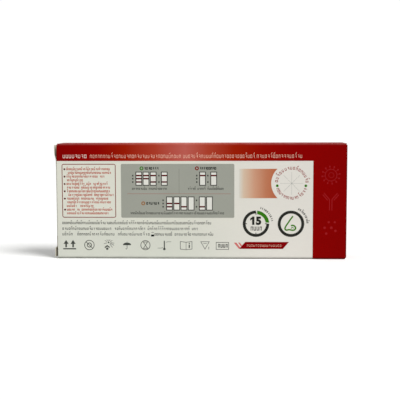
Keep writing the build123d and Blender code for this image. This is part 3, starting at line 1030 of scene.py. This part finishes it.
# Two dials: dark grey rings, the left a timer with its first quarter green and the number of
# minutes in it, the right one round a green outline of a nose.
TIMER = (124.0, 22.2)
NOSE = (145.7, 22.2)
DIAL_WORDS = 9.6
NOSE_WIDTH = 0.9
NOSTRIL_WIDTH = 0.5
NUMBER_SIZE = 6.5 * MM
NUMBER_BOLDER = 0.4 * MM
NUMBER_WIDER = 1.02
NUMBER_FOOT = 21.8
NOSE_LINE = [
    (146.9, 26.9), (145.6, 25.2), (144.2, 23.1), (142.9, 21.2), (142.2, 20.0), (142.0, 19.0), (142.3, 18.4),
    (143.1, 18.2), (144.6, 18.5), (145.6, 18.3), (147.0, 18.1), (148.0, 18.4), (148.6, 19.2), (148.4, 20.2),
    (147.6, 21.0), (146.5, 21.2), (145.7, 20.9),
]
ring_ink = plain_ink("dial_grey", (45, 46, 42), SATIN)
dressed("timer_ring", ring_ink)
dressed("nose_ring", ring_ink)
dressed("timer_arc", green_ink)
number_shape = bpy.data.curves.new("minutes", "FONT")
number_shape.body = "15"
number_shape.size = NUMBER_SIZE
number_shape.offset = NUMBER_BOLDER
number_shape.extrude = INK
number_shape.resolution_u = 6
number_shape.align_x = "CENTER"
number_mesh = plain_mesh(added("minutes_guide", number_shape))
for corner in number_mesh.vertices:
    across, up, out = corner.co
    corner.co = on_front(TIMER[0], NUMBER_FOOT, ON_BOARD) + Vector((across * NUMBER_WIDER, -out, up))
number_mesh.materials.clear()
number_mesh.materials.append(ring_ink)
on_carton("timer_minutes", number_mesh)


def number_flag(mesh):
    slab(mesh, [(120.4, 24.1), (121.9, 25.1), (121.9, 26.4), (120.4, 25.4)])


def nose_outline(mesh):
    rule(mesh, NOSE_LINE, NOSE_WIDTH)
    rule(mesh, arc(146.6, 19.0, 0.8, 20, 170, 8), NOSTRIL_WIDTH, OVER)


printed("timer_number_flag", number_flag, ring_ink)
lettering(
    "timer_unit", [line_at(17.9, 121.5, 127.0)], ON_BOARD, ring_ink,
    height=2.5, pitch=1.75, seed=24, stem=0.28,
)
lettering(
    "dial_words", [arc(*TIMER, DIAL_WORDS, 74, 12, 16), arc(*NOSE, DIAL_WORDS, 62, 4, 16)],
    ON_BOARD, dark_ink, height=1.2, pitch=1.05, seed=17, stem=0.4, bar=0.26, marks=0.25,
)
printed("nose_outline", nose_outline, plain_ink("nose_green", (62, 122, 8), SATIN))

# Small print along the lower front: three lines of strokes in grey ink on the white coat, in runs
# of different lengths, with one small dark box among them.
BODY_LINES = (
    (21.7, ((3.4, 44.8), (46.4, 95.7))),
    (18.1, ((3.4, 16.5), (17.7, 30.5), (31.7, 37.6), (38.8, 52.1), (53.2, 87.2))),
    (14.6, ((3.4, 14.1), (15.4, 24.2), (25.5, 35.1), (38.4, 50.9), (52.4, 57.2))),
    (14.6, ((61.3, 71.2), (73.9, 83.1), (84.5, 96.9))),
)


def body_box(mesh):
    slab(mesh, box_at(58.6, 14.0, 60.6, 15.2))
    rule(mesh, line_at(16.6, 58.8, 60.4), 0.25)


body_rows = [line_at(up, start, stop) for up, runs in BODY_LINES for start, stop in runs]
lettering(
    "body_words", body_rows, ON_BOARD, plain_ink("body_text_grey", (76, 80, 75)),
    height=1.4, pitch=1.22, seed=2, stem=0.28, spaces=0.03, marks=0.22,
)
printed("body_box", body_box, heavy_ink)

# Row of storage and use symbols along the foot of the front: plain outline signs in one dark grey
# ink, all about six millimetres high, with a small frame at the row's right end.
SIGN_UP = 8.5
SIGN_LINE = 0.4
SINGLE_USE = (19.8, SIGN_UP)
SUN = (31.9, 10.2)
SUN_RAYS = (
    (-52, 4.0), (-28, 3.9), (-8, 3.6), (28, 2.7), (60, 2.0), (90, 1.7), (120, 2.0), (152, 2.6), (195, 2.9),
)
UMBRELLA = 43.5
CANOPY_HEIGHT = 0.62
HOURGLASS = 55.05
THERMOMETER = 66.9


def arrows_up(mesh):
    for across in (5.1, 9.5):
        rule(mesh, [(across, 7.0), (across, 9.8)], 1.0)
        slab(mesh, [(across - 1.6, 9.2), (across + 1.6, 9.2), (across, 11.7)], OVER)
    rule(mesh, line_at(6.1, 3.2, 11.4), 0.75)


def single_use(mesh):
    circle(mesh, *SINGLE_USE, 3.0, SIGN_LINE)
    circle(mesh, *SINGLE_USE, 1.3, 0.5, count=32)
    rule(mesh, arc(*SINGLE_USE, 2.9, 135, 315, 1), SIGN_LINE, OVER)


def sun_sign(mesh):
    for turn, reach in SUN_RAYS:
        rule(mesh, [at_turn(*SUN, 1.15, turn), at_turn(*SUN, reach, turn)], 0.3)
    disc(mesh, *SUN, 0.55)
    rule(mesh, [(29.5, 6.9), (31.0, 8.1), (32.5, 7.0)], 0.75, OVER)
    disc(mesh, 31.0, 6.2, 0.75)


def umbrella(mesh):
    canopy = arc(UMBRELLA, SIGN_UP, 2.6, 180, 0, 16)
    slab(mesh, [(across, SIGN_UP + (up - SIGN_UP) * CANOPY_HEIGHT) for across, up in canopy])
    handle = [(UMBRELLA, 10.7), (UMBRELLA, 6.5), (UMBRELLA - 0.4, 6.0), (UMBRELLA - 1.0, 6.2)]
    rule(mesh, handle, 0.32, OVER)


def hourglass(mesh):
    circle(mesh, HOURGLASS, SIGN_UP, 2.9, SIGN_LINE)
    left, right = HOURGLASS - 1.3, HOURGLASS + 1.3
    rule(mesh, [(left, 10.5), (right, 10.5), (left, 6.5), (right, 6.5)], 0.34, OVER, closed=True)


def thermometer(mesh):
    rule(mesh, [(THERMOMETER, 6.7), (THERMOMETER, 11.3)], 0.68)
    disc(mesh, THERMOMETER, 6.15, 0.8)
    rule(mesh, [(68.0, 10.2), (68.7, 10.7), (71.2, 10.7)], 0.24)
    rule(mesh, [(65.8, 7.3), (65.2, 6.7), (62.7, 6.7)], 0.24)


def open_book(mesh):
    pages = [(76.9, 6.1), (76.9, 10.9), (80.5, 10.4), (84.2, 10.9), (84.2, 6.1), (80.5, 5.7)]
    rule(mesh, pages, 0.32, closed=True)
    rule(mesh, [(80.5, 10.3), (80.5, 5.8)], 0.25, OVER)
    rule(mesh, [(82.5, 6.8), (82.5, 8.9)], 0.75)
    disc(mesh, 82.5, 9.7, 0.42, count=12)


def test_count(mesh):
    rule(mesh, [(89.7, 10.8), (95.0, 10.8), (92.3, 6.1)], 0.3, closed=True)
    rule(mesh, line_at(9.7, 91.3, 93.4), 0.25)
    rule(mesh, [(94.7, 6.0), (94.7, 7.6)], 0.3)


def word_frame(mesh):
    rule(mesh, box_at(99.3, 6.0, 107.1, 10.4), 0.32, closed=True)


def signs(mesh):
    outlines = (arrows_up, single_use, sun_sign, umbrella, hourglass, thermometer, open_book, test_count)
    for sign in (*outlines, word_frame):
        sign(mesh)


printed("storage_signs", signs, plain_ink("sign_grey", (70, 73, 68)))
lettering(
    "framed_words", [line_at(7.1, 101.1, 105.9)], ON_BOARD, heavy_ink,
    height=2.3, pitch=1.55, seed=35, stem=0.32,
)

# Slanted plate at the end of the row: a solid red ink with pale strokes left open in it, and two
# slanted stripes of a lighter red before it.
STRIPE_FEET = 6.5
STRIPE_TOPS = 10.3
STRIPE_LEAN = 3.0
STRIPES = ((110.3, 1.6), (112.9, 1.1))


def plate_stripes(mesh):
    for left, width in STRIPES:
        foot = line_at(STRIPE_FEET, left + STRIPE_LEAN, left + STRIPE_LEAN + width)
        slab(mesh, foot + line_at(STRIPE_TOPS, left + width, left))


dressed("red_plate", red_ink)
printed("plate_stripes", plate_stripes, plain_ink("stripe_red", (203, 112, 108), SATIN))
pale_ink = plain_ink("pale_knockout", (254, 216, 192))
lettering(
    "plate_words", [line_at(7.8, 118.8, 139.4)], ON_PRINT, pale_ink,
    height=1.3, pitch=1.35, seed=41, stem=0.12, bar=0.09, spaces=0.05, weight=0.75,
)

# Faint signs down the red side field, in a red a shade lighter than the field: a ring with knobs,
# a forked stem and six loose dots.
KNOBBED_RING = (170.1, 52.4)
STEM_MIDDLE = KNOBBED_RING[0]
HALF_STEM = ((0.75, 30.5), (0.75, 37.3), (4.2, 41.3))
TWIG = ((1.9, 36.8), (4.9, 40.3))
LOOSE_DOTS = (
    (169.0, 23.2, 0.7), (172.7, 23.2, 0.7), (166.5, 19.7, 0.8),
    (170.6, 19.7, 0.9), (173.2, 17.8, 0.8), (167.5, 16.1, 0.8),
)


def faint_signs(mesh):
    across, up = KNOBBED_RING
    circle(mesh, across, up, 3.6, 0.42, ON_PRINT)
    circle(mesh, across + 0.2, up, 1.6, 0.3, ON_PRINT, 28)
    for turn in range(8, 368, 30):
        near, far, knob = [at_turn(across, up, reach, turn) for reach in (3.7, 5.0, 5.4)]
        rule(mesh, [near, far], 0.3, ON_PRINT)
        disc(mesh, *knob, 0.5, ON_PRINT + OVER, 12)
    for side in (-1, 1):
        for path in (HALF_STEM, TWIG):
            rule(mesh, [(STEM_MIDDLE + side * out, height) for out, height in path], 0.5, ON_PRINT)
    for across, up, radius in LOOSE_DOTS:
        disc(mesh, across, up, radius, ON_PRINT, 16)


printed("faint_signs", faint_signs, plain_ink("faint_red", (152, 28, 32), SATIN))

# Words in the header: one row of pale strokes, left open in the red so that the white coat shows,
# after a bolder and brighter short row.
HEADER_FOOT = 63.05
HEADER_RUNS = ((21.5, 77.0), (79.4, 122.6), (125.0, 151.7))
lettering(
    "header_words", [line_at(HEADER_FOOT, *run) for run in HEADER_RUNS], ON_PRINT, pale_ink,
    height=1.95, pitch=1.6, seed=6, stem=0.14, bar=0.085, marks=0.17, weight=0.8,
)
name_ink = plain_ink("name_white", (255, 236, 224))
lettering(
    "header_name", [line_at(HEADER_FOOT, 4.6, 18.0)], ON_PRINT, name_ink,
    height=2.1, pitch=1.9, seed=9, stem=0.15, bar=0.12, marks=0.05, weight=0.85,
)
